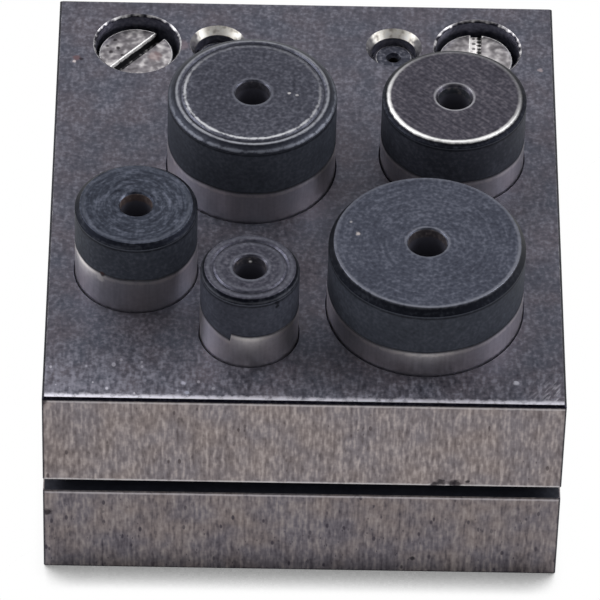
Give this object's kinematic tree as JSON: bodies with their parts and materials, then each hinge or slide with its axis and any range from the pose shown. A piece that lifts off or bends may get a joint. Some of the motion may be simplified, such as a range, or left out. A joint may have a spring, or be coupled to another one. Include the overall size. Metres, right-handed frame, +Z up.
{
  "type": "disc cutter",
  "caption": "Steel block of plates screwed together a slot apart, with round punches that slide down through matching guide and die holes to shear discs out of sheet.",
  "frame": {"origin": "middle of the underside of the block, on the bench", "axes": "+Z up along the punches, +Y to the back where the screws and dowels are, +X to the right seen from the front"},
  "size_m": [0.067, 0.0762, 0.0444],
  "materials": {
    "die_steel": "ground, a little stained",
    "guide_steel": "blue-grey top, ground sides",
    "spacer_steel": "turned, satin",
    "dowel_steel": "ground, satin",
    "screw_steel": "turned, worn bright",
    "punch_steel": "blackened head, ground shank"
  },
  "bodies": {
    "block": {"die_plate": "die_steel", "guide_plate": "guide_steel", "spacer_left": "spacer_steel", "spacer_right": "spacer_steel", "dowel_left": "dowel_steel", "dowel_right": "dowel_steel", "clamp_screw_left": "screw_steel", "clamp_screw_right": "screw_steel"},
    "large_punch": {"punch_1_inch": "punch_steel"},
    "rear_punch": {"punch_7_8_inch": "punch_steel"},
    "right_punch": {"punch_3_4_inch": "punch_steel"},
    "left_punch": {"punch_5_8_inch": "punch_steel"},
    "small_punch": {"punch_1_2_inch": "punch_steel"}
  },
  "joints": [
    {"name": "slide_1_inch", "type": "slide", "parent": "block", "child": "large_punch", "axis": [0, 0, 1], "range_m": [0, 0.036]},
    {"name": "slide_7_8_inch", "type": "slide", "parent": "block", "child": "rear_punch", "axis": [0, 0, 1], "range_m": [0, 0.036]},
    {"name": "slide_3_4_inch", "type": "slide", "parent": "block", "child": "right_punch", "axis": [0, 0, 1], "range_m": [0, 0.036]},
    {"name": "slide_5_8_inch", "type": "slide", "parent": "block", "child": "left_punch", "axis": [0, 0, 1], "range_m": [0, 0.036]},
    {"name": "slide_1_2_inch", "type": "slide", "parent": "block", "child": "small_punch", "axis": [0, 0, 1], "range_m": [0, 0.036]}
  ]
}
